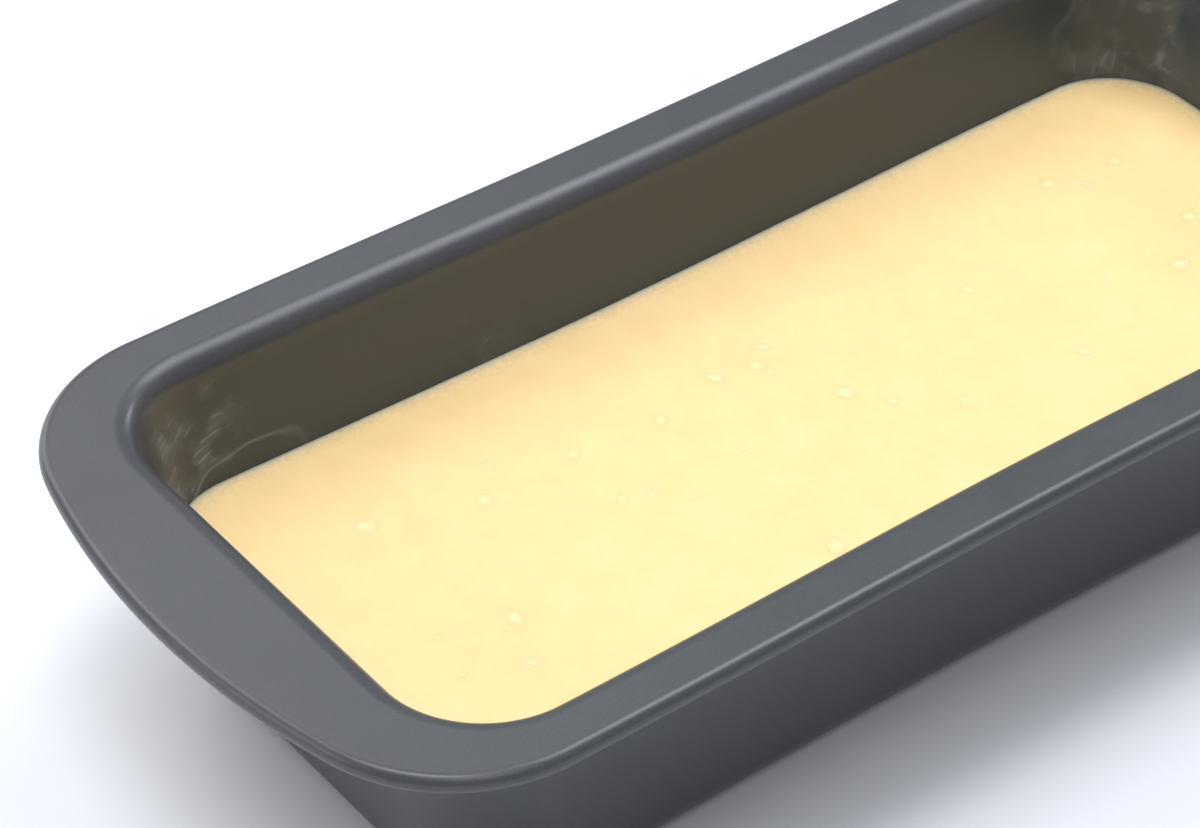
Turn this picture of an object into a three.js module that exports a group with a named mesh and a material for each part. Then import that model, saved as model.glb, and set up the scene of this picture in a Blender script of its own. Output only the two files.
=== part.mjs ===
// A loaf tin pressed from coated sheet steel, holding raw sponge batter to a little over half its depth.
// Millimetres, +Z up. The origin is on the floor under the middle of the tin. The long sides run along X.

import * as THREE from 'three';

// Tin: overall form
const TIN_HEIGHT = 58;
const SHEET = 0.8;
const WALL_TAPER = THREE.MathUtils.degToRad(9.6);
const BASE_FILLET = 8;

// Tin: opening, measured on the inner wall where it starts to turn over into the flange
const OPENING_LENGTH = 248.8;
const OPENING_WIDTH = 110;
const OPENING_CORNER = 19.4;
const OPENING_BOW = 1.2;
const CORNER_SHRINK = 0.4;
const SHOULDER_RADIUS = 4;

// Tin: flat flange with bulged grips at both ends and a rolled bead round its edge
const SIDE_FLANGE = 11.9;
const END_FLANGE = 22.6;
const RIM_CORNER = 32.7;
const RIM_END_ARC = 166;
const RIM_BOW = 1;
const BEAD_RADIUS = 2.3;
const BEAD_TURN = THREE.MathUtils.degToRad(250);

// Batter: its level, its clearance from the sheet and the form of its top
const FREE_DEPTH = 27;
const CLEARANCE = 0.3;
const MENISCUS_RISE = 0.5;
const MENISCUS_REACH = 3;
const SWELL_HEIGHT = 0.4;
const SWELL_LENGTH = 280;
const SWELL_START = 20;
const TOP_INSETS = [1.2, 3, 6, 11, 18, 27, 38];

// Facets
const CORNER_STEPS = 9;
const SIDE_STEPS = 10;
const END_STEPS = 8;
const FILLET_STEPS = 6;
const SHOULDER_STEPS = 5;
const BEAD_STEPS = 11;

const COATED_STEEL = new THREE.MeshStandardMaterial({ color: 0x5b5e64, roughness: 0.42, metalness: 0.2 });
const PALE_BATTER = new THREE.MeshStandardMaterial({ color: 0xfbe4a9, roughness: 0.45, metalness: 0 });

// An arc about (cx, cy) from one angle to another, as points without the last one.
function arcPoints(cx, cy, radius, from, to, steps) {
  const points = [];
  for (let k = 0; k < steps; k += 1) {
    const angle = from + ((to - from) * k) / steps;
    points.push(new THREE.Vector2(cx + radius * Math.cos(angle), cy + radius * Math.sin(angle)));
  }
  return points;
}

// The quarter of an outline from the middle of the +X end to the middle of the +Y side, turned into the
// whole outline by two mirrors. Every outline has the same number of points, in the same order.
function mirrorQuarter(quarter) {
  const half = [...quarter];
  for (const point of [...quarter].slice(0, -1).reverse()) {
    half.push(new THREE.Vector2(-point.x, point.y));
  }
  const whole = [...half];
  for (const point of half.slice(1, -1).reverse()) {
    whole.push(new THREE.Vector2(point.x, -point.y));
  }
  return whole;
}

// Half of a long side, from the end of the corner arc to the middle, drawn in by the bow.
function bowedSide(startX, y, bow) {
  const points = [];
  const steps = SIDE_STEPS / 2;
  for (let k = 0; k <= steps; k += 1) {
    const x = startX * (1 - k / steps);
    const pull = (bow * (1 + Math.cos((Math.PI * x) / startX))) / 2;
    points.push(new THREE.Vector2(x, y - pull));
  }
  return points;
}

// The rounded rectangle of the opening, moved outwards by an offset.
function openingOutline(offset, corner) {
  const halfLength = OPENING_LENGTH / 2 + offset;
  const halfWidth = OPENING_WIDTH / 2 + offset;
  const cornerX = halfLength - corner;
  const cornerY = halfWidth - corner;
  const steps = END_STEPS / 2;
  const end = [];
  for (let k = 0; k < steps; k += 1) {
    end.push(new THREE.Vector2(halfLength, (cornerY * k) / steps));
  }
  const turn = arcPoints(cornerX, cornerY, corner, 0, Math.PI / 2, CORNER_STEPS);
  return mirrorQuarter([...end, ...turn, ...bowedSide(cornerX, halfWidth, OPENING_BOW)]);
}

// The outer edge of the flange, moved outwards by an offset: wide end arcs and large corner arcs.
function rimOutline(offset) {
  const halfLength = OPENING_LENGTH / 2 + END_FLANGE + offset;
  const halfWidth = OPENING_WIDTH / 2 + SIDE_FLANGE + offset;
  const corner = RIM_CORNER + offset;
  const endArc = RIM_END_ARC + offset;
  const endX = halfLength - endArc;
  const cornerY = halfWidth - corner;
  const cornerX = endX + Math.sqrt((endArc - corner) ** 2 - cornerY ** 2);
  const meet = Math.atan2(cornerY, cornerX - endX);
  const end = arcPoints(endX, 0, endArc, 0, meet, END_STEPS / 2);
  const turn = arcPoints(cornerX, cornerY, corner, meet, Math.PI / 2, CORNER_STEPS);
  return mirrorQuarter([...end, ...turn, ...bowedSide(cornerX, halfWidth, RIM_BOW)]);
}

// A section through the sheet is walked from the floor to the end of the bead. Each point keeps its
// offset from its outline, its height and its heading, where 0 is outwards and a quarter turn is up.
function walkArc(section, radius, turn, steps) {
  const start = section[section.length - 1];
  const side = Math.sign(turn);
  const centreOffset = start.offset - side * radius * Math.sin(start.heading);
  const centreZ = start.z + side * radius * Math.cos(start.heading);
  for (let k = 1; k <= steps; k += 1) {
    const heading = start.heading + (turn * k) / steps;
    section.push({
      offset: centreOffset + side * radius * Math.sin(heading),
      z: centreZ - side * radius * Math.cos(heading),
      heading,
    });
  }
}

// The inner face of the tin below the flange: floor edge, fillet, tapered wall and shoulder.
function innerSection() {
  const wallTurn = Math.PI / 2 - WALL_TAPER;
  const innerFillet = BASE_FILLET - SHEET;
  const wallTop = TIN_HEIGHT - SHOULDER_RADIUS * (1 - Math.sin(WALL_TAPER));
  const wallTopOffset = SHOULDER_RADIUS * (1 - Math.cos(WALL_TAPER));
  const wallFoot = SHEET + innerFillet * (1 - Math.sin(WALL_TAPER));
  const wallFootOffset = wallTopOffset - (wallTop - wallFoot) * Math.tan(WALL_TAPER);
  const floorOffset = wallFootOffset - innerFillet * Math.cos(WALL_TAPER);
  const section = [{ offset: floorOffset, z: SHEET, heading: 0 }];
  walkArc(section, innerFillet, wallTurn, FILLET_STEPS);
  section.push({ offset: wallTopOffset, z: wallTop, heading: wallTurn });
  walkArc(section, SHOULDER_RADIUS, -wallTurn, SHOULDER_STEPS);
  return section;
}

// The upper face of the bead, from where the flange runs into it round to its free edge.
function beadSection() {
  const section = [{ offset: -BEAD_RADIUS, z: TIN_HEIGHT, heading: 0 }];
  walkArc(section, BEAD_RADIUS, -BEAD_TURN, BEAD_STEPS);
  return section;
}

// A section point moved along its normal, to the under side of the sheet where the distance is positive.
function shifted(point, distance) {
  return {
    offset: point.offset + distance * Math.sin(point.heading),
    z: point.z - distance * Math.cos(point.heading),
    heading: point.heading,
    shift: distance * Math.sin(point.heading),
  };
}

// The corner radius follows the offset on the flange, and shrinks more slowly than it down the wall.
function wallRing(point) {
  const shift = point.shift ?? 0;
  const faceOffset = point.offset - shift;
  const shrink = faceOffset < 0 ? CORNER_SHRINK : 1;
  const outline = openingOutline(point.offset, OPENING_CORNER + shrink * faceOffset + shift);
  return outline.map((p) => new THREE.Vector3(p.x, p.y, point.z));
}

function beadRing(point) {
  return rimOutline(point.offset).map((p) => new THREE.Vector3(p.x, p.y, point.z));
}

// A fan of triangles from the middle of a ring to its points, facing down or up.
function closeEnd(ring, start, positions, triangles, facesDown) {
  const middle = positions.length / 3;
  const height = ring.reduce((sum, point) => sum + point.z, 0) / ring.length;
  positions.push(0, 0, height);
  for (let k = 0; k < ring.length; k += 1) {
    const here = start + k;
    const next = start + ((k + 1) % ring.length);
    triangles.push(middle, facesDown ? next : here, facesDown ? here : next);
  }
}

// One closed body from rings of equal length, each joined to the next, with both end rings filled in.
function loftedBody(rings) {
  const positions = [];
  const triangles = [];
  const count = rings[0].length;
  for (const ring of rings) {
    for (const point of ring) {
      positions.push(point.x, point.y, point.z);
    }
  }
  for (let r = 0; r + 1 < rings.length; r += 1) {
    for (let k = 0; k < count; k += 1) {
      const next = (k + 1) % count;
      const low = r * count;
      const high = low + count;
      triangles.push(low + k, low + next, high + next);
      triangles.push(low + k, high + next, high + k);
    }
  }
  closeEnd(rings[0], 0, positions, triangles, true);
  closeEnd(rings[rings.length - 1], (rings.length - 1) * count, positions, triangles, false);
  const geometry = new THREE.BufferGeometry();
  geometry.setAttribute('position', new THREE.Float32BufferAttribute(positions, 3));
  geometry.setIndex(triangles);
  geometry.computeVertexNormals();
  return geometry;
}

// The tin: from the under side of the base, out and round the bead, and back over the inner face.
function loafTin() {
  const wall = innerSection();
  const bead = beadSection();
  const under = (point) => shifted(point, SHEET);
  const rings = [
    ...wall.map(under).map(wallRing),
    ...bead.map(under).map(beadRing),
    ...[...bead].reverse().map(beadRing),
    ...[...wall].reverse().map(wallRing),
  ];
  const mesh = new THREE.Mesh(loftedBody(rings), COATED_STEEL);
  mesh.name = 'loaf_tin';
  return mesh;
}

// Height of the batter: a level with one long shallow swell, climbing a little where it wets the wall.
function batterHeight(point, inset) {
  const level = TIN_HEIGHT - FREE_DEPTH - MENISCUS_RISE;
  const swell = SWELL_HEIGHT * Math.sin((2 * Math.PI * (point.x - SWELL_START)) / SWELL_LENGTH);
  const climb = MENISCUS_RISE * Math.exp(-inset / MENISCUS_REACH);
  return level + swell + climb;
}

// The batter: the inner face of the tin with a clearance, up to its level, and its uneven top.
function spongeBatter() {
  const surface = TIN_HEIGHT - FREE_DEPTH;
  const below = innerSection().slice(0, FILLET_STEPS + 1).map((point) => shifted(point, -CLEARANCE));
  const foot = below[FILLET_STEPS];
  const edge = { ...foot, z: surface, offset: foot.offset + (surface - foot.z) * Math.tan(WALL_TAPER) };
  const edgeCorner = OPENING_CORNER + CORNER_SHRINK * (edge.offset - edge.shift) + edge.shift;
  const halfWidth = OPENING_WIDTH / 2 + edge.offset;
  const rings = below.map(wallRing);
  for (const inset of [0, ...TOP_INSETS]) {
    const corner = edgeCorner * (1 - inset / halfWidth);
    const outline = openingOutline(edge.offset - inset, corner);
    rings.push(outline.map((p) => new THREE.Vector3(p.x, p.y, batterHeight(p, inset))));
  }
  const mesh = new THREE.Mesh(loftedBody(rings), PALE_BATTER);
  mesh.name = 'batter';
  return mesh;
}

const filledTin = new THREE.Group();
filledTin.add(loafTin(), spongeBatter());

export default filledTin;
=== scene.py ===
# %% [markdown]
# # A loaf tin filled with sponge batter
# The object is a pressed steel loaf tin with a dark non-stick coating, and the pale batter poured into
# it. Two solids of the right size are loaded first, as a fixed frame. Each piece that is made below
# refines the form of one solid and then stands in for it. All lengths are metres, with +Z up and the tin
# along X.

# %% Load the frame
import math

import bpy
import numpy as np
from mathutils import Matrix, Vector


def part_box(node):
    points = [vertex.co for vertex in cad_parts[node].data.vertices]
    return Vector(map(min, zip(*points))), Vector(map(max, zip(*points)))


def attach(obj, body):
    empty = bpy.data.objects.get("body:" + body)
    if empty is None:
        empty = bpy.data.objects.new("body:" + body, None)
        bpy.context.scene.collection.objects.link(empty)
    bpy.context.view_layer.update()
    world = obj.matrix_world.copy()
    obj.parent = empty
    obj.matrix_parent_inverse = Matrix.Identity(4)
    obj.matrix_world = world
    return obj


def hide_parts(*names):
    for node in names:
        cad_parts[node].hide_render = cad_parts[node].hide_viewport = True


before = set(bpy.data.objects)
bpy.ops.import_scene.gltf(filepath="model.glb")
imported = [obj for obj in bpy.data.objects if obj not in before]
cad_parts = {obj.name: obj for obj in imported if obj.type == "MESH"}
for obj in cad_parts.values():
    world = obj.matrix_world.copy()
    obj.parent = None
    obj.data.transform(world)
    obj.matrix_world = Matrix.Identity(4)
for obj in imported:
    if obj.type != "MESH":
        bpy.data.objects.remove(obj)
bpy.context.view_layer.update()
MM = 0.001
TIN_LOW, TIN_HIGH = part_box("loaf_tin")
print("tin from", tuple(TIN_LOW), "to", tuple(TIN_HIGH))

# %% [markdown]
# ## Camera
# A long lens looks down at the near left end, so that parallel edges stay almost parallel. The camera
# could be keyed by hand, but three angles and a distance from a target on the rim say plainly where it
# stands.

# %% Camera
IMAGE_WIDTH = 1200
SENSOR_WIDTH = 36.0
FOCAL_PIXELS = 4376.2
CAMERA_AZIMUTH = math.radians(-37.317)
CAMERA_ELEVATION = math.radians(39.405)
CAMERA_DISTANCE = 0.7716
CAMERA_TARGET = Vector((-54.85 * MM, -1.53 * MM, TIN_HIGH.z))


def direction(azimuth, elevation):
    """The unit vector from the object towards a place at that azimuth and elevation."""
    return Vector((math.sin(azimuth) * math.cos(elevation), -math.cos(azimuth) * math.cos(elevation),
                   math.sin(elevation)))


def add_object(name, data):
    """A new object at the origin, linked to the scene."""
    obj = bpy.data.objects.new(name, data)
    bpy.context.scene.collection.objects.link(obj)
    return obj


camera = add_object("camera", bpy.data.cameras.new("camera"))
camera.data.sensor_fit = "HORIZONTAL"
camera.data.sensor_width = SENSOR_WIDTH
camera.data.lens = FOCAL_PIXELS * SENSOR_WIDTH / IMAGE_WIDTH
towards_camera = direction(CAMERA_AZIMUTH, CAMERA_ELEVATION)
camera.location = CAMERA_TARGET + CAMERA_DISTANCE * towards_camera
camera.rotation_euler = towards_camera.to_track_quat("Z", "Y").to_euler()
bpy.context.scene.camera = camera
print("camera at", tuple(round(c, 3) for c in camera.location), "lens", round(camera.data.lens, 1), "mm")

# %% [markdown]
# ## Node helpers
# Every material and every Geometry Nodes tree below is built in code. One helper places a node and feeds
# its inputs, from another node's socket or from a plain value, so that a tree reads from top to bottom.


# %% Node helpers
def place(tree, kind, feeds=None, **settings):
    """Adds a node with its own settings, and feeds its inputs from sockets or plain values."""
    node = tree.nodes.new(kind)
    for key, value in settings.items():
        setattr(node, key, value)
    for key, value in (feeds or {}).items():
        if isinstance(value, bpy.types.NodeSocket):
            tree.links.new(value, node.inputs[key])
        else:
            node.inputs[key].default_value = value
    return node


def calc(tree, operation, *values, clamp=False):
    """The result of one Math node."""
    feeds = dict(enumerate(values))
    return place(tree, "ShaderNodeMath", feeds, operation=operation, use_clamp=clamp).outputs[0]


def ramp(tree, value, low, high, to_low=0.0, to_high=1.0):
    """A value eased from one range to another and held at its ends."""
    feeds = {"Value": value, "From Min": low, "From Max": high, "To Min": to_low, "To Max": to_high}
    return place(tree, "ShaderNodeMapRange", feeds, interpolation_type="SMOOTHSTEP").outputs["Result"]


def new_tree(name, inputs):
    """An empty Geometry Nodes tree with named inputs, and its first and last node."""
    tree = bpy.data.node_groups.new(name, "GeometryNodeTree")
    for label, kind in inputs:
        tree.interface.new_socket(label, in_out="INPUT", socket_type=kind)
    tree.interface.new_socket("Geometry", in_out="OUTPUT", socket_type="NodeSocketGeometry")
    return tree, tree.nodes.new("NodeGroupInput"), tree.nodes.new("NodeGroupOutput")


def finish_tree(tree, geometry, material, last):
    """Ends a tree with smooth faces, real geometry and a material."""
    smooth = place(tree, "GeometryNodeSetShadeSmooth", {"Geometry": geometry})
    real = place(tree, "GeometryNodeRealizeInstances", {"Geometry": smooth.outputs[0]})
    coated = place(tree, "GeometryNodeSetMaterial", {"Geometry": real.outputs[0], "Material": material})
    tree.links.new(coated.outputs[0], last.inputs[0])


def grow(obj, tree, **values):
    """Runs a tree on an object with these input values and keeps the result as its plain mesh."""
    modifier = obj.modifiers.new(tree.name, "NODES")
    modifier.node_group = tree
    for item in tree.interface.items_tree:
        key = item.name.lower().replace(" ", "_")
        if item.in_out == "INPUT" and key in values:
            modifier[item.identifier] = values[key]
    depsgraph = bpy.context.evaluated_depsgraph_get()
    depsgraph.update()
    made = bpy.data.meshes.new_from_object(obj.evaluated_get(depsgraph), preserve_all_data_layers=True,
                                           depsgraph=depsgraph)
    made.name = obj.name
    obj.modifiers.clear()
    obj.data = made
    triangles = sum(len(face.vertices) - 2 for face in made.polygons)
    print(obj.name, len(made.vertices), "points,", triangles, "triangles")


def point_mesh(name, points, **attributes):
    """A mesh of loose points with named attributes, to carry numbers into a tree."""
    mesh = bpy.data.meshes.new(name)
    mesh.from_pydata([tuple(p) for p in points], [], [])
    for key, values in attributes.items():
        add_attribute(mesh, key, values)
    return mesh


def add_attribute(mesh, name, values):
    """Stores a number or a vector for each point of a mesh."""
    values = np.asarray(values, np.float32)
    kind, field = ("FLOAT_VECTOR", "vector") if values.ndim == 2 else ("FLOAT", "value")
    mesh.attributes.new(name, kind, "POINT").data.foreach_set(field, values.ravel())


# %% [markdown]
# ## Shader groups
# Some effects are used more than once. Soft mottling is slow unevenness, as in a poured batter or a
# sprayed coat, and at a small size it makes froth. A wiped smear is what a greasy hand leaves on a wall.
# Fine specks, the grain of the coat, are kept beside them as a third pattern. Each is built once as a
# node group with named inputs, and a material places it with its own sizes.


# %% Shader groups
def new_group(name, inputs, output):
    """An empty shader group with named number inputs, Object coordinates and one number output."""
    tree = bpy.data.node_groups.new(name, "ShaderNodeTree")
    for label, value in inputs:
        socket = tree.interface.new_socket(label, in_out="INPUT", socket_type="NodeSocketFloat")
        socket.default_value = value
    tree.interface.new_socket(output, in_out="OUTPUT", socket_type="NodeSocketFloat")
    where = place(tree, "ShaderNodeTexCoord").outputs["Object"]
    given = tree.nodes.new("NodeGroupInput").outputs
    result = tree.nodes.new("NodeGroupOutput").inputs[0]
    return tree, given, result, where


def soft_mottle_group():
    """Two layers of noise, a broad one and one at a third of its size, from 0 to 1."""
    tree, given, result, where = new_group("Soft mottling", [("Size", 0.03), ("Contrast", 2.0)], "Mottle")
    broad_scale = calc(tree, "DIVIDE", 1.0, given["Size"])
    fine_scale = calc(tree, "MULTIPLY", broad_scale, 3.1)
    broad = place(tree, "ShaderNodeTexNoise", {"Vector": where, "Scale": broad_scale, "Detail": 2.0})
    fine = place(tree, "ShaderNodeTexNoise", {"Vector": where, "Scale": fine_scale, "Detail": 3.0})
    broad_part = calc(tree, "MULTIPLY", broad.outputs[0], 0.55)
    total = calc(tree, "MULTIPLY_ADD", fine.outputs[0], 0.45, broad_part)
    centred = calc(tree, "SUBTRACT", total, 0.5)
    spread = calc(tree, "MULTIPLY_ADD", centred, given["Contrast"], 0.5, clamp=True)
    tree.links.new(spread, result)
    return tree


def fine_specks_group():
    """Small round dots, one in some of the cells of a Voronoi pattern, from 0 to 1."""
    inputs = [("Cell", 0.002), ("Radius", 0.2), ("Share", 0.4)]
    tree, given, result, where = new_group("Fine specks", inputs, "Specks")
    scale = calc(tree, "DIVIDE", 1.0, given["Cell"])
    cells = place(tree, "ShaderNodeTexVoronoi", {"Vector": where, "Scale": scale})
    chance = place(tree, "ShaderNodeSeparateColor", {"Color": cells.outputs["Color"]}).outputs[0]
    chosen = calc(tree, "LESS_THAN", chance, given["Share"])
    inner = calc(tree, "MULTIPLY", given["Radius"], 0.4)
    dot = ramp(tree, cells.outputs["Distance"], inner, given["Radius"], 1.0, 0.0)
    tree.links.new(calc(tree, "MULTIPLY", dot, chosen), result)
    return tree


def wiped_smear_group():
    """Thin greasy streaks that sweep in uneven arcs about a point on a wall, from 0 to 1."""
    tree, given, result, where = new_group("Wiped smear", [
        ("Along", 0.0), ("Middle", 0.0), ("Height", 0.03), ("Stretch", 1.5),
        ("Inner", 0.009), ("Outer", 0.028), ("Streak", 0.0006), ("Border", 0.0)], "Smear")

    def part_of(name, share):
        """A share of one of the group's inputs."""
        return calc(tree, "MULTIPLY", given[name], share)

    spot = place(tree, "ShaderNodeSeparateXYZ", {0: where}).outputs
    along_x = calc(tree, "MULTIPLY", spot[0], calc(tree, "COSINE", given["Along"]))
    along = calc(tree, "MULTIPLY_ADD", spot[1], calc(tree, "SINE", given["Along"]), along_x)
    side = calc(tree, "DIVIDE", calc(tree, "SUBTRACT", along, given["Middle"]), given["Stretch"])
    rise = calc(tree, "SUBTRACT", spot[2], given["Height"])
    circle = calc(tree, "SQRT", calc(tree, "MULTIPLY_ADD", side, side, calc(tree, "MULTIPLY", rise, rise)))
    wander = place(tree, "ShaderNodeTexNoise", {"Vector": where, "Scale": 90.0, "Detail": 1.0}).outputs[0]
    radius = calc(tree, "MULTIPLY_ADD", calc(tree, "SUBTRACT", wander, 0.5), 7 * MM, circle)
    turn = calc(tree, "ARCTAN2", rise, side)
    across = calc(tree, "DIVIDE", radius, given["Streak"])
    sweep = calc(tree, "MULTIPLY", turn, 2.5)
    run = place(tree, "ShaderNodeCombineXYZ", {"X": across, "Y": sweep}).outputs[0]
    streaky = {"Vector": run, "Scale": 1.0, "Detail": 3.0, "Distortion": 0.8}
    thin = ramp(tree, place(tree, "ShaderNodeTexNoise", streaky).outputs[0], 0.50, 0.74)
    blotch = place(tree, "ShaderNodeTexNoise", {"Vector": where, "Scale": 130.0, "Detail": 2.0})
    patchy = ramp(tree, blotch.outputs[0], 0.42, 0.62)
    starts = ramp(tree, radius, part_of("Inner", 0.8), given["Inner"])
    ends = ramp(tree, radius, part_of("Outer", 0.7), given["Outer"], 1.0, 0.0)
    band = calc(tree, "MULTIPLY", starts, ends)
    turned = ramp(tree, side, part_of("Outer", -0.2), part_of("Outer", 0.1), 1.0, 0.0)
    strength = calc(tree, "MULTIPLY_ADD", thin, 0.75, 0.25)
    streaks = calc(tree, "MULTIPLY", strength, calc(tree, "MULTIPLY", band, patchy))
    past = calc(tree, "ABSOLUTE", calc(tree, "SUBTRACT", radius, given["Inner"]))
    line = ramp(tree, past, 0.0, given["Streak"], 1.0, 0.0)
    reach = ramp(tree, side, 0.0, part_of("Outer", 0.4), 1.0, 0.0)
    border = calc(tree, "MULTIPLY", calc(tree, "MULTIPLY", line, reach), given["Border"])
    tree.links.new(calc(tree, "MAXIMUM", calc(tree, "MULTIPLY", streaks, turned), border), result)
    return tree


SOFT_MOTTLE = soft_mottle_group()
FINE_SPECKS = fine_specks_group()
WIPED_SMEAR = wiped_smear_group()
print("groups:", SOFT_MOTTLE.name, FINE_SPECKS.name, WIPED_SMEAR.name)


# %% Material helpers
def new_material(name):
    """A material with a Principled shader, and that shader."""
    material = bpy.data.materials.new(name)
    material.use_nodes = True
    return material, material.node_tree, material.node_tree.nodes["Principled BSDF"]


def use_group(tree, group, **values):
    """Places a shader group with its own values and returns its output."""
    node = place(tree, "ShaderNodeGroup", node_tree=group)
    for key, value in values.items():
        node.inputs[key.capitalize()].default_value = value
    return node.outputs[0]


def blend_colours(tree, share, first, second):
    """A mix of two colours, each a plain colour or a socket."""
    mix = place(tree, "ShaderNodeMix", data_type="RGBA")
    for index, value in ((0, share), (6, first), (7, second)):
        if isinstance(value, bpy.types.NodeSocket):
            tree.links.new(value, mix.inputs[index])
        else:
            mix.inputs[index].default_value = value if index == 0 else (*value, 1.0)
    return mix.outputs[2]


def attribute(tree, name):
    """A named attribute of the mesh as a number."""
    return place(tree, "ShaderNodeAttribute", attribute_name=name).outputs["Fac"]


# %% [markdown]
# ## Coated steel
# The tin is pressed steel under a dark grey non-stick coat. The coat is satin, with a very fine grain and
# a slightly uneven spread. Inside, butter was wiped on by hand. Its film tints the wall, and it left thin
# pale streaks in the far corners. They could be thin strips of mesh, but they have no thickness to see,
# so they are masks in the coat's colour.

# %% Coated steel
COAT_DARK = (0.048, 0.051, 0.0565)
COAT_LIGHT = (0.068, 0.072, 0.0785)
GREASE = (0.33, 0.35, 0.37)
GREASED_COAT = (0.037, 0.049, 0.049)


def coated_steel():
    material, tree, shader = new_material("coated_steel")
    spread = use_group(tree, SOFT_MOTTLE, size=25 * MM, contrast=2.0)
    grain = use_group(tree, FINE_SPECKS, cell=0.45 * MM, radius=0.5, share=0.6)
    tone = calc(tree, "MULTIPLY_ADD", grain, 0.5, calc(tree, "MULTIPLY", spread, 0.5))
    colour = blend_colours(tree, tone, COAT_DARK, COAT_LIGHT)
    left = use_group(tree, WIPED_SMEAR, middle=-96 * MM, height=27 * MM, inner=9 * MM, outer=32 * MM,
                     border=0.45)
    right = use_group(tree, WIPED_SMEAR, along=math.radians(-45), middle=66 * MM, height=26 * MM,
                      inner=5 * MM, outer=40 * MM, stretch=1.0, streak=3.0 * MM)
    middle = use_group(tree, WIPED_SMEAR, middle=-30 * MM, height=24 * MM, inner=8 * MM, outer=24 * MM,
                       stretch=2.0, streak=2.0 * MM)
    smears = calc(tree, "MULTIPLY", left, 0.7)
    for smear, share in ((right, 0.36), (middle, 0.12)):
        smears = calc(tree, "MULTIPLY_ADD", smear, share, smears)
    where = place(tree, "ShaderNodeTexCoord").outputs["Object"]
    spot = place(tree, "ShaderNodeSeparateXYZ", {0: where}).outputs
    below_shoulder = ramp(tree, spot[2], 50 * MM, 54 * MM, 1.0, 0.0)
    inner_wall = calc(tree, "MULTIPLY", attribute(tree, "inner"), below_shoulder)
    colour = blend_colours(tree, calc(tree, "MULTIPLY", inner_wall, 0.65), colour, GREASED_COAT)
    far_wall = calc(tree, "MULTIPLY", inner_wall, ramp(tree, spot[1], 24 * MM, 44 * MM))
    greasy = calc(tree, "MULTIPLY", smears, far_wall, clamp=True)
    tree.links.new(blend_colours(tree, greasy, colour, GREASE), shader.inputs["Base Color"])
    tree.links.new(calc(tree, "MULTIPLY_ADD", tone, 0.06, 0.30), shader.inputs["Roughness"])
    return material


COATED_STEEL = coated_steel()
print("coated steel:", len(COATED_STEEL.node_tree.nodes), "nodes")

# %% [markdown]
# ## Tin
# A press draws the tin from one flat sheet: the same section runs all the way round, only the outlines
# that it follows change, from the foot to the opening and on to the rim. It could be modelled by hand and
# subdivided, but a rule fits it better. The section is walked once as a path, and a Geometry Nodes tree
# sweeps it round.

# %% Tin sizes
SHEET = 0.8 * MM
WALL_TAPER = math.radians(9.6)
BASE_FILLET = 8 * MM
OPENING_LENGTH = 247.7 * MM
OPENING_WIDTH = 108.9 * MM
OPENING_CORNER = 19.4 * MM
OPENING_BOW = 1.2 * MM
CORNER_SHRINK = 0.4
SHOULDER_RADIUS = 4.9 * MM
RIM_CORNER = 32.7 * MM
RIM_END_ARC = 166 * MM
RIM_BOW = 1 * MM
RIM_SPREAD = 0.45 * MM
BEAD_RADIUS = 2.0 * MM
BEAD_TURN = math.radians(250)
TIN_HEIGHT = TIN_HIGH.z

WALL_TURN = math.pi / 2 - WALL_TAPER
INNER_FILLET = BASE_FILLET - SHEET
WALL_TOP = TIN_HEIGHT - SHOULDER_RADIUS * (1 - math.sin(WALL_TAPER))
WALL_TOP_OFFSET = SHOULDER_RADIUS * (1 - math.cos(WALL_TAPER))
WALL_FOOT = SHEET + INNER_FILLET * (1 - math.sin(WALL_TAPER))


def wall_offset(height):
    """How far the inner wall stands outside the opening's outline at a height, negative lower down."""
    return WALL_TOP_OFFSET - (WALL_TOP - height) * math.tan(WALL_TAPER)


def wall_corner(height):
    """The corner radius of the inner wall at a height."""
    return OPENING_CORNER + CORNER_SHRINK * wall_offset(height)


print("wall foot at", round(WALL_FOOT / MM, 2), "mm, offset", round(wall_offset(WALL_FOOT) / MM, 2), "mm")

# %% Outlines
CORNER_STEPS = 26
SIDE_HALF_STEPS = 18
END_HALF_STEPS = 14
SPINE, FOOT, OPENING, RIM = range(4)


def arc(centre, radius, start, stop):
    """Points on an arc without the last one, and their outward directions."""
    angles = np.linspace(start, stop, CORNER_STEPS, endpoint=False)
    outward = np.column_stack([np.cos(angles), np.sin(angles)])
    return np.array(centre) + radius * outward, outward


def whole_outline(parts):
    """Mirrors a quarter outline, given as pairs of points and directions, into the whole loop."""
    loops = []
    for quarter in (np.vstack([p for p, _ in parts]), np.vstack([d for _, d in parts])):
        half = np.vstack([quarter, quarter[-2::-1] * [-1, 1]])
        loops.append(np.vstack([half, half[-2:0:-1] * [1, -1]]))
    return loops


def bowed_side(start_x, y, bow):
    """Half of a long side from its corner to its middle, drawn in by the bow."""
    x = np.linspace(start_x, 0, SIDE_HALF_STEPS + 1)
    points = np.column_stack([x, y - bow * (1 + np.cos(np.pi * x / start_x)) / 2])
    return points, np.tile([0.0, 1.0], (len(x), 1))


def opening_outline(offset, corner):
    """The rounded rectangle of the opening, moved outwards by an offset."""
    half_length = OPENING_LENGTH / 2 + offset
    half_width = OPENING_WIDTH / 2 + offset
    y = np.linspace(0, half_width - corner, END_HALF_STEPS, endpoint=False)
    end = np.column_stack([np.full(len(y), half_length), y]), np.tile([1.0, 0.0], (len(y), 1))
    turn = arc((half_length - corner, half_width - corner), corner, 0, math.pi / 2)
    return whole_outline([end, turn, bowed_side(half_length - corner, half_width, OPENING_BOW)])


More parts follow.
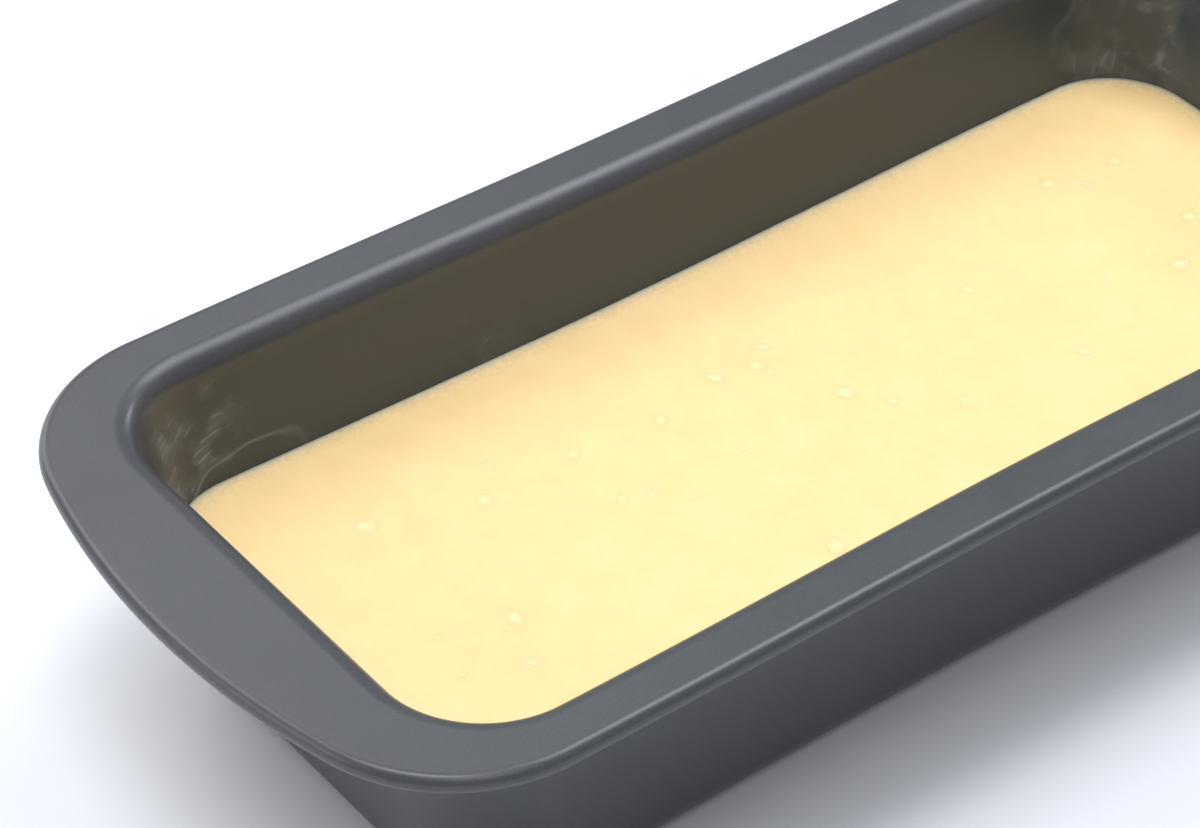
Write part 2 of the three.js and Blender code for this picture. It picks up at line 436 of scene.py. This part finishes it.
def rim_outline():
    """The outer edge of the flange: wide arcs at the ends, large corners and slightly bowed sides."""
    end_x = TIN_HIGH.x - RIM_END_ARC
    corner_y = TIN_HIGH.y - RIM_CORNER
    corner_x = end_x + math.sqrt((RIM_END_ARC - RIM_CORNER) ** 2 - corner_y ** 2)
    meet = math.atan2(corner_y, corner_x - end_x)
    angles = np.linspace(0, meet, END_HALF_STEPS, endpoint=False)
    outward = np.column_stack([np.cos(angles), np.sin(angles)])
    end = np.array([end_x, 0.0]) + RIM_END_ARC * outward, outward
    turn = arc((corner_x, corner_y), RIM_CORNER, meet, math.pi / 2)
    return whole_outline([end, turn, bowed_side(corner_x, TIN_HIGH.y, RIM_BOW)])


def tin_outlines():
    """The loops that the sheet follows, stacked in the order of SPINE, FOOT, OPENING and RIM."""
    foot = opening_outline(wall_offset(WALL_FOOT), wall_corner(WALL_FOOT))
    reach = foot[0][:, 0].max() - foot[0][:, 1].max()
    spine = np.column_stack([np.clip(foot[0][:, 0], -reach, reach), np.zeros(len(foot[0]))])
    loops = [(spine, np.zeros_like(spine)), foot, opening_outline(0, OPENING_CORNER), rim_outline()]
    points = np.vstack([p for p, _ in loops])
    outward = np.vstack([d for _, d in loops])
    flat = np.zeros((len(points), 1))
    return np.hstack([points, flat]), np.hstack([outward, flat]), len(spine)


OUTLINE_POINTS, OUTLINE_OUTWARD, STATIONS = tin_outlines()
print(STATIONS, "stations on each outline")

# %% Section
FILLET_STEPS = 12
SHOULDER_STEPS = 14
BEAD_STEPS = 28
EDGE_MARGIN = 0.25 * MM


def walk_arc(path, radius, turn, steps):
    """Continues a path of (outline, offset, height, heading) along an arc. Positive turns go left."""
    outline, offset, height, heading = path[-1]
    side = math.copysign(1.0, turn)
    centre_offset = offset - side * radius * math.sin(heading)
    centre_height = height + side * radius * math.cos(heading)
    for step in range(1, steps + 1):
        aim = heading + turn * step / steps
        path.append((outline, centre_offset + side * radius * math.sin(aim),
                     centre_height - side * radius * math.cos(aim), aim))


def walk_straight(path, length):
    """Continues a path straight on."""
    outline, offset, height, heading = path[-1]
    offset += length * math.cos(heading)
    height += length * math.sin(heading)
    path.append((outline, offset, height, heading))


def upper_path():
    """The upper face of the sheet, from the middle of the floor to the free edge of the bead."""
    floor_edge = -INNER_FILLET * math.cos(WALL_TAPER)
    path = [(SPINE, 0.0, SHEET, 0.0), (FOOT, floor_edge - EDGE_MARGIN, SHEET, 0.0)]
    walk_straight(path, EDGE_MARGIN)
    walk_arc(path, INNER_FILLET, WALL_TURN, FILLET_STEPS)
    walk_straight(path, EDGE_MARGIN)
    lean = EDGE_MARGIN * math.sin(WALL_TAPER)
    path.append((OPENING, WALL_TOP_OFFSET - lean, WALL_TOP - EDGE_MARGIN * math.cos(WALL_TAPER), WALL_TURN))
    walk_straight(path, EDGE_MARGIN)
    walk_arc(path, SHOULDER_RADIUS, -WALL_TURN, SHOULDER_STEPS)
    walk_straight(path, EDGE_MARGIN)
    path.append((RIM, RIM_SPREAD - BEAD_RADIUS - EDGE_MARGIN, TIN_HEIGHT, 0.0))
    walk_straight(path, EDGE_MARGIN)
    walk_arc(path, BEAD_RADIUS, -BEAD_TURN, BEAD_STEPS)
    return path


def sheet_section():
    """The whole section as points (offset, outline, height): over the upper face and back under it."""
    path = upper_path()
    upper = [(offset, outline, height) for outline, offset, height, _ in path]
    under = [(offset + SHEET * math.sin(heading), outline, height - SHEET * math.cos(heading))
             for outline, offset, height, heading in path]
    return upper + under[::-1]


SECTION = sheet_section()
print(len(SECTION), "points in the section")


# %% Sweep tree
def sweep_tree():
    """A tree that lays a grid of stations by section points and moves each point to its place."""
    tree, first, last = new_tree("Section swept round outlines", [
        ("Outlines", "NodeSocketGeometry"), ("Section", "NodeSocketObject"), ("Stations", "NodeSocketInt"),
        ("Section points", "NodeSocketInt"), ("Material", "NodeSocketMaterial")])
    given = first.outputs
    columns = calc(tree, "ADD", given["Stations"], 1)
    grid = place(tree, "GeometryNodeMeshGrid", {"Size X": 1.0, "Size Y": 1.0, "Vertices X": columns,
                                                "Vertices Y": given["Section points"]})
    where = place(tree, "ShaderNodeSeparateXYZ", {0: place(tree, "GeometryNodeInputPosition").outputs[0]})
    across = calc(tree, "MULTIPLY", calc(tree, "ADD", where.outputs[0], 0.5), given["Stations"])
    station = calc(tree, "FLOORED_MODULO", calc(tree, "ROUND", across), given["Stations"])
    last_point = calc(tree, "SUBTRACT", given["Section points"], 1)
    step = calc(tree, "ROUND", calc(tree, "MULTIPLY", calc(tree, "ADD", where.outputs[1], 0.5), last_point))

    section = place(tree, "GeometryNodeObjectInfo", {"Object": given["Section"]}).outputs["Geometry"]
    position = place(tree, "GeometryNodeInputPosition").outputs[0]
    outward = place(tree, "GeometryNodeInputNamedAttribute", {"Name": "outward"}, data_type="FLOAT_VECTOR")
    face = place(tree, "GeometryNodeInputNamedAttribute", {"Name": "inner"}, data_type="FLOAT")

    def sampled(source, value, index, kind="FLOAT_VECTOR"):
        feeds = {"Geometry": source, "Value": value, "Index": index}
        return place(tree, "GeometryNodeSampleIndex", feeds, data_type=kind).outputs[0]

    inner = sampled(section, face.outputs[0], step, "FLOAT")
    mark = {"Geometry": grid.outputs["Mesh"], "Name": "inner", "Value": inner}
    marked = place(tree, "GeometryNodeStoreNamedAttribute", mark, data_type="FLOAT", domain="POINT")
    profile = place(tree, "ShaderNodeSeparateXYZ", {0: sampled(section, position, step)}).outputs
    index = calc(tree, "MULTIPLY_ADD", profile[1], given["Stations"], station)
    base = sampled(given["Outlines"], position, index)
    push = sampled(given["Outlines"], outward.outputs[0], index)
    spread = place(tree, "ShaderNodeVectorMath", {0: push, 1: base, "Scale": profile[0]}, operation="SCALE")
    moved = place(tree, "ShaderNodeVectorMath", {0: spread.outputs[0], 1: base}, operation="ADD")
    lift = place(tree, "ShaderNodeCombineXYZ", {"Z": profile[2]})
    final = place(tree, "ShaderNodeVectorMath", {0: moved.outputs[0], 1: lift.outputs[0]}, operation="ADD")
    placed = place(tree, "GeometryNodeSetPosition",
                   {"Geometry": marked.outputs[0], "Position": final.outputs[0]})
    closed = place(tree, "GeometryNodeMergeByDistance",
                   {"Geometry": placed.outputs[0], "Distance": 0.001 * MM})
    finish_tree(tree, closed.outputs[0], given["Material"], last)
    return tree


upper_face = np.arange(len(SECTION)) < len(SECTION) // 2
section_points = add_object("section_points", point_mesh("section_points", SECTION, inner=upper_face))
tin = add_object("tin_sheet", point_mesh("tin_outlines", OUTLINE_POINTS, outward=OUTLINE_OUTWARD))
grow(tin, sweep_tree(), section=section_points, stations=STATIONS, section_points=len(SECTION),
     material=COATED_STEEL)
bpy.data.objects.remove(section_points)

# %% [markdown]
# ## Batter
# The batter is a thick liquid that has almost levelled itself. It climbs a little where it wets the wall,
# and long shallow swells are left from the pouring. A block of points is laid in the form of the tin's
# inside, fine on top and coarse where the tin hides it, and a tree then shapes the top. Where the batter
# meets the wall, a thin film and fine froth gather and a thin line of painted shade lies in the crease, so
# the finish reads each point's distance from the wall.

# %% Batter finish
BATTER_DEEP = (0.82, 0.575, 0.255)
BATTER_PALE = (0.89, 0.645, 0.325)
BATTER_FILM = (0.50, 0.47, 0.35)
# Painted shade for the crease where the batter meets the wall.
BATTER_CREASE_SHADE = (0.16, 0.15, 0.13)
BATTER_PORE = (0.50, 0.43, 0.25)
FLECK_PALE = (0.96, 0.82, 0.50)


def batter_finish():
    material, tree, shader = new_material("batter")
    mottle = use_group(tree, SOFT_MOTTLE, size=22 * MM, contrast=2.2)
    froth = use_group(tree, SOFT_MOTTLE, size=2.2 * MM, contrast=2.5)
    stirred = use_group(tree, SOFT_MOTTLE, size=7 * MM, contrast=3.0)
    fine_tone = calc(tree, "MULTIPLY_ADD", froth, 0.25, calc(tree, "MULTIPLY", stirred, 0.3))
    tone = calc(tree, "MULTIPLY_ADD", mottle, 0.45, fine_tone)
    colour = blend_colours(tree, tone, BATTER_DEEP, BATTER_PALE)
    edge = attribute(tree, "edge")
    film = ramp(tree, edge, 0.4 * MM, 2.4 * MM, 0.75, 0.0)
    frothy_film = calc(tree, "MULTIPLY", film, calc(tree, "MULTIPLY_ADD", froth, 0.8, 0.35), clamp=True)
    colour = blend_colours(tree, frothy_film, colour, BATTER_FILM)
    # Painted shade: a thin dark line on the batter in the crease where it meets the wall.
    crease_shade = ramp(tree, edge, 0.1 * MM, 0.9 * MM, 0.8, 0.0)
    colour = blend_colours(tree, crease_shade, colour, BATTER_CREASE_SHADE)
    edge_pores = use_group(tree, SOFT_MOTTLE, size=1.0 * MM, contrast=6.0)
    near_edge = ramp(tree, edge, 0.6 * MM, 5 * MM, 0.42, 0.0)
    pores = calc(tree, "MULTIPLY", edge_pores, near_edge)
    colour = blend_colours(tree, pores, colour, BATTER_PORE)
    ragged = use_group(tree, SOFT_MOTTLE, size=1.6 * MM, contrast=3.0)
    crown = calc(tree, "POWER", attribute(tree, "crown"), 1.6)
    broken_crown = calc(tree, "MULTIPLY", crown, calc(tree, "MULTIPLY_ADD", ragged, 0.6, 0.05))
    colour = blend_colours(tree, broken_crown, colour, FLECK_PALE)
    tree.links.new(colour, shader.inputs["Base Color"])
    shader.inputs["Roughness"].default_value = 0.45
    shader.inputs["Subsurface Weight"].default_value = 0.35
    shader.inputs["Subsurface Radius"].default_value = (1.0, 0.75, 0.4)
    shader.inputs["Subsurface Scale"].default_value = 3 * MM
    return material


BATTER = batter_finish()
print("batter finish:", len(BATTER.node_tree.nodes), "nodes")

# %% Batter block
FREE_DEPTH = 26.6 * MM
CONTACT_HEIGHT = TIN_HEIGHT - FREE_DEPTH
MENISCUS_RISE = 0.5 * MM
LEVEL = CONTACT_HEIGHT - MENISCUS_RISE
INTO_WALL = 0.12 * MM
ABOVE_FLOOR = 0.1 * MM
STRAIGHT_COLUMNS = 230
CORNER_COLUMNS = 22
ROWS = 151
EDGE_CROWDING = 0.6


def block_plan(offset, corner):
    """For each column of the block: its place along the tin and the half-width of the tin there."""
    corner_x = OPENING_LENGTH / 2 + offset - corner
    half_width = OPENING_WIDTH / 2 + offset
    straight = np.linspace(-corner_x, corner_x, STRAIGHT_COLUMNS)
    bowed = half_width - OPENING_BOW * (1 + np.cos(np.pi * straight / corner_x)) / 2
    turn = np.linspace(0, math.pi / 2, CORNER_COLUMNS + 1)[1:]
    end_x = corner_x + corner * np.sin(turn)
    end_half = half_width - corner + corner * np.cos(turn)
    return (np.concatenate([-end_x[::-1], straight, end_x]),
            np.concatenate([end_half[::-1], bowed, end_half]))


def edge_distance(x, y, offset, corner):
    """How far a point lies inside the rounded rectangle of the wall."""
    corner_x = OPENING_LENGTH / 2 + offset - corner
    pull = OPENING_BOW * (1 + np.cos(np.pi * np.clip(x / corner_x, -1, 1))) / 2
    past_x = np.abs(x) - corner_x
    past_y = np.abs(y) + pull - (OPENING_WIDTH / 2 + offset - corner)
    outside = np.hypot(np.maximum(past_x, 0), np.maximum(past_y, 0))
    return corner - outside - np.minimum(np.maximum(past_x, past_y), 0)


def batter_block():
    """A closed block with a fine top and a ring of points at each lower height."""
    u = np.linspace(-1, 1, ROWS)
    across = u + EDGE_CROWDING * np.sin(np.pi * u) / np.pi
    top_offset = wall_offset(CONTACT_HEIGHT) + INTO_WALL
    top_corner = wall_corner(CONTACT_HEIGHT) + INTO_WALL
    x, half = block_plan(top_offset, top_corner)
    columns = len(x)
    grid_x = np.repeat(x, ROWS)
    grid_y = np.outer(half, across).ravel()
    points = [np.column_stack([grid_x, grid_y, np.full(len(grid_x), LEVEL)])]
    index = np.arange(columns * ROWS).reshape(columns, ROWS)
    faces = [(a, b, c, d) for a, b, c, d in zip(index[:-1, :-1].ravel(), index[1:, :-1].ravel(),
                                                index[1:, 1:].ravel(), index[:-1, 1:].ravel())]
    loop = np.concatenate([index[:-1, 0], index[-1, :-1], index[:0:-1, -1], index[0, :0:-1]])
    ring = loop
    count = columns * ROWS
    floor_offset = wall_offset(WALL_FOOT) - INNER_FILLET * math.cos(WALL_TAPER)
    floor_corner = wall_corner(WALL_FOOT) - INNER_FILLET * math.cos(WALL_TAPER)
    foot_level = (wall_offset(WALL_FOOT) + INTO_WALL, wall_corner(WALL_FOOT) + INTO_WALL, WALL_FOOT)
    floor_level = (floor_offset, floor_corner, SHEET + ABOVE_FLOOR)
    for offset, corner, height in (foot_level, floor_level):
        x, half = block_plan(offset, corner)
        level = np.full(columns * ROWS, height)
        lower = np.column_stack([np.repeat(x, ROWS), np.outer(half, across).ravel(), level])
        points.append(lower[loop])
        below = count + np.arange(len(loop))
        count += len(loop)
        faces += list(zip(ring, below, np.roll(below, -1), np.roll(ring, -1)))
        ring = below
    faces.append(tuple(ring[::-1]))
    mesh = bpy.data.meshes.new("batter")
    everything = np.vstack(points)
    mesh.from_pydata(everything.tolist(), [], [[int(i) for i in f] for f in faces])
    edge = np.zeros(count)
    edge[:len(grid_x)] = np.maximum(edge_distance(grid_x, grid_y, top_offset, top_corner), 0)
    add_attribute(mesh, "edge", edge)
    add_attribute(mesh, "top", np.arange(count) < len(grid_x))
    return mesh


batter = add_object("batter_body", batter_block())
print("batter block with", len(batter.data.vertices), "points")

# %% Batter surface tree
SWELL_HEIGHT = 0.4 * MM
SWELL_LENGTH = 280 * MM
SWELL_START = 20 * MM
MENISCUS_REACH = 3 * MM
RIPPLE_HEIGHT = 0.3 * MM
RIPPLE_SIZE = 35 * MM


def surface_tree():
    """A tree that lifts the top of the block by the swell, the climb at the wall and soft ripples."""
    sizes = ("Swell height", "Swell length", "Swell start", "Climb", "Reach",
             "Ripple height", "Ripple size")
    tree, first, last = new_tree("Poured surface", [
        ("Block", "NodeSocketGeometry"), *((name, "NodeSocketFloat") for name in sizes),
        ("Material", "NodeSocketMaterial")])
    given = first.outputs
    position = place(tree, "GeometryNodeInputPosition").outputs[0]
    x = place(tree, "ShaderNodeSeparateXYZ", {0: position}).outputs[0]
    edge = place(tree, "GeometryNodeInputNamedAttribute", {"Name": "edge"}, data_type="FLOAT").outputs[0]
    top = place(tree, "GeometryNodeInputNamedAttribute", {"Name": "top"}, data_type="FLOAT").outputs[0]
    phase = calc(tree, "DIVIDE", calc(tree, "SUBTRACT", x, given["Swell start"]), given["Swell length"])
    swell = calc(tree, "MULTIPLY", calc(tree, "SINE", calc(tree, "MULTIPLY", phase, 2 * math.pi)),
                 given["Swell height"])
    fade = calc(tree, "EXPONENT", calc(tree, "MULTIPLY", calc(tree, "DIVIDE", edge, given["Reach"]), -1.0))
    climb = calc(tree, "MULTIPLY", fade, given["Climb"])
    scale = calc(tree, "DIVIDE", 1.0, given["Ripple size"])
    noise = place(tree, "ShaderNodeTexNoise", {"Vector": position, "Scale": scale, "Detail": 2.0})
    ripple = calc(tree, "MULTIPLY", calc(tree, "SUBTRACT", noise.outputs[0], 0.5), given["Ripple height"])
    total = calc(tree, "ADD", calc(tree, "ADD", swell, climb), ripple)
    lift = place(tree, "ShaderNodeCombineXYZ", {"Z": calc(tree, "MULTIPLY", total, top)})
    shaped = place(tree, "GeometryNodeSetPosition", {"Geometry": given["Block"], "Offset": lift.outputs[0]})
    finish_tree(tree, shaped.outputs[0], given["Material"], last)
    return tree


grow(batter, surface_tree(), swell_height=SWELL_HEIGHT, swell_length=SWELL_LENGTH, swell_start=SWELL_START,
     climb=MENISCUS_RISE, reach=MENISCUS_REACH, ripple_height=RIPPLE_HEIGHT, ripple_size=RIPPLE_SIZE,
     material=BATTER)

# %% [markdown]
# ## Flecks
# A few small pale blisters of foam lie on the batter, thickest in the middle. They could be painted on,
# but they stand a little proud and catch the light. One low dome is scattered over the surface by a tree
# with a fixed seed, and its crown fades into the batter's own colour at the rim.


# %% Fleck tree
def fleck_tree():
    """A tree that scatters low domes of different sizes over the top of the batter."""
    sizes = ("Density", "Margin", "Least radius", "Greatest radius", "Lowness")
    tree, first, last = new_tree("Scattered flecks", [
        ("Geometry", "NodeSocketGeometry"), ("Batter", "NodeSocketObject"),
        *((name, "NodeSocketFloat") for name in sizes), ("Seed", "NodeSocketInt"),
        ("Material", "NodeSocketMaterial")])
    given = first.outputs
    square = {"Size X": 2.0, "Size Y": 2.0, "Vertices X": 7, "Vertices Y": 7}
    grid = place(tree, "GeometryNodeMeshGrid", square)
    position = place(tree, "GeometryNodeInputPosition").outputs[0]
    at = place(tree, "ShaderNodeSeparateXYZ", {0: position}).outputs

    def pulled(value, other):
        """A square grid's coordinate drawn in, so that the square becomes a disc."""
        squared = calc(tree, "MULTIPLY", other, other)
        shrink = calc(tree, "SQRT", calc(tree, "MULTIPLY_ADD", squared, -0.5, 1.0))
        return calc(tree, "MULTIPLY", value, shrink)

    x = pulled(at[0], at[1])
    y = pulled(at[1], at[0])
    reach = calc(tree, "MULTIPLY_ADD", x, x, calc(tree, "MULTIPLY", y, y))
    inside = calc(tree, "SUBTRACT", 1.0, reach, clamp=True)
    bell = calc(tree, "SUBTRACT", calc(tree, "MULTIPLY", inside, inside), 0.06)
    rise = calc(tree, "MULTIPLY", bell, given["Lowness"])
    form = place(tree, "ShaderNodeCombineXYZ", {"X": x, "Y": y, "Z": rise}).outputs[0]
    mark = {"Geometry": grid.outputs["Mesh"], "Name": "crown", "Value": inside}
    crowned = place(tree, "GeometryNodeStoreNamedAttribute", mark, data_type="FLOAT", domain="POINT")
    dome = place(tree, "GeometryNodeSetPosition", {"Geometry": crowned.outputs[0], "Position": form})

    surface = place(tree, "GeometryNodeObjectInfo", {"Object": given["Batter"]}).outputs["Geometry"]
    edge = place(tree, "GeometryNodeInputNamedAttribute", {"Name": "edge"}, data_type="FLOAT").outputs[0]
    depth = ramp(tree, edge, given["Margin"], calc(tree, "MULTIPLY", given["Margin"], 6.0))
    points = place(tree, "GeometryNodeDistributePointsOnFaces", {
        "Mesh": surface, "Density": calc(tree, "MULTIPLY", depth, given["Density"]), "Seed": given["Seed"]},
        distribute_method="RANDOM")

    def drawn(least, greatest, seed):
        """A random number between two bounds for each fleck."""
        feeds = {2: least, 3: greatest, "Seed": seed}
        return place(tree, "FunctionNodeRandomValue", feeds, data_type="FLOAT").outputs[1]

    length = drawn(given["Least radius"], given["Greatest radius"], given["Seed"])
    width = calc(tree, "MULTIPLY", length, drawn(0.6, 1.0, 5))
    scale = place(tree, "ShaderNodeCombineXYZ", {"X": length, "Y": width, "Z": length})
    turn = place(tree, "ShaderNodeCombineXYZ", {"Z": drawn(0.0, math.pi, 9)})
    domes = place(tree, "GeometryNodeInstanceOnPoints", {
        "Points": points.outputs["Points"], "Instance": dome.outputs[0], "Rotation": turn.outputs[0],
        "Scale": scale.outputs[0]})
    finish_tree(tree, domes.outputs[0], given["Material"], last)
    return tree


flecks = add_object("batter_flecks", bpy.data.meshes.new("batter_flecks"))
grow(flecks, fleck_tree(), batter=batter, density=3000.0, margin=5 * MM, least_radius=0.9 * MM,
     greatest_radius=2.4 * MM, lowness=0.05, seed=3, material=BATTER)
print("flecks keep", [a.name for a in flecks.data.attributes if a.domain == "POINT"])

# %% [markdown]
# ## Floor and light
# The tin stands on a plain pale surface in broad soft light, most of it from behind and above. One large
# dome of light could do, but single round panels put the highlights in their places: the right ones on
# the far shoulder and the near bead, the overhead ones on the near corner, and a small one as a glint in
# the far left corner.

# %% Floor
FLOOR_HALF = 2.5
FLOOR_SHADE = (0.785, 0.80, 0.84)
FLOOR_LIGHT = (0.805, 0.82, 0.86)


def pale_floor():
    material, tree, shader = new_material("pale_floor")
    cloud = use_group(tree, SOFT_MOTTLE, size=0.3, contrast=1.0)
    colour = blend_colours(tree, cloud, FLOOR_SHADE, FLOOR_LIGHT)
    tree.links.new(colour, shader.inputs["Base Color"])
    shader.inputs["Roughness"].default_value = 0.7
    return material


floor_mesh = bpy.data.meshes.new("floor")
floor_corners = [(x * FLOOR_HALF, y * FLOOR_HALF, 0) for x, y in ((-1, -1), (1, -1), (1, 1), (-1, 1))]
floor_mesh.from_pydata(floor_corners, [], [(0, 1, 2, 3)])
floor = add_object("floor", floor_mesh)
floor_mesh.materials.append(pale_floor())
print("floor:", 2 * FLOOR_HALF, "m square")

# %% Lights
PANEL_DISTANCE = 1.6
DAYLIGHT = (0.92, 0.97, 1.05)


def soft_light(name, azimuth, elevation, size, power, colour=(1.0, 1.0, 1.0)):
    """A round soft panel that faces the middle of the tin."""
    panel = add_object(name, bpy.data.lights.new(name, "AREA"))
    panel.data.shape = "DISK"
    panel.data.size = size
    panel.data.energy = power
    panel.data.color = colour
    aim = direction(math.radians(azimuth), math.radians(elevation))
    panel.location = aim * PANEL_DISTANCE
    panel.rotation_euler = aim.to_track_quat("Z", "Y").to_euler()


soft_light("right_overhead", 105, 63, 0.7, 6.6, DAYLIGHT)
soft_light("right_high", 74, 62, 0.7, 4.9, DAYLIGHT)
soft_light("overhead", -80, 82, 0.45, 4.4, DAYLIGHT)
soft_light("corner_glint", 106, 28, 0.15, 2.5, DAYLIGHT)
soft_light("left_overhead", -108, 70, 0.6, 5.2)
soft_light("front_overhead", -30, 60, 0.9, 4.0)
soft_light("back_window", 155, 46, 0.5, 1.0)
soft_light("back_panel", 174, 52, 0.7, 1.8)
soft_light("back_left", 209, 45, 0.8, 5.8)
soft_light("back_low", 190, 20, 0.9, 4.0)
soft_light("left_low", -110, 20, 0.9, 3.8)

world = bpy.data.worlds.new("studio")
bpy.context.scene.world = world
world.use_nodes = True
world.node_tree.nodes["Background"].inputs["Color"].default_value = (0.97, 0.985, 1.0, 1.0)
world.node_tree.nodes["Background"].inputs["Strength"].default_value = 0.37
bpy.context.scene.view_settings.view_transform = "Standard"
print("light:", len(bpy.data.lights), "panels")

# %% [markdown]
# ## Hand over
# Each piece rides on the one body of the object and hides the solid that it stands for.

# %% Hand over
for piece, node, slot in ((tin, "loaf_tin", "coated_steel"), (batter, "batter", "batter"),
                          (flecks, "batter", "batter")):
    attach(piece, "root")
    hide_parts(node)
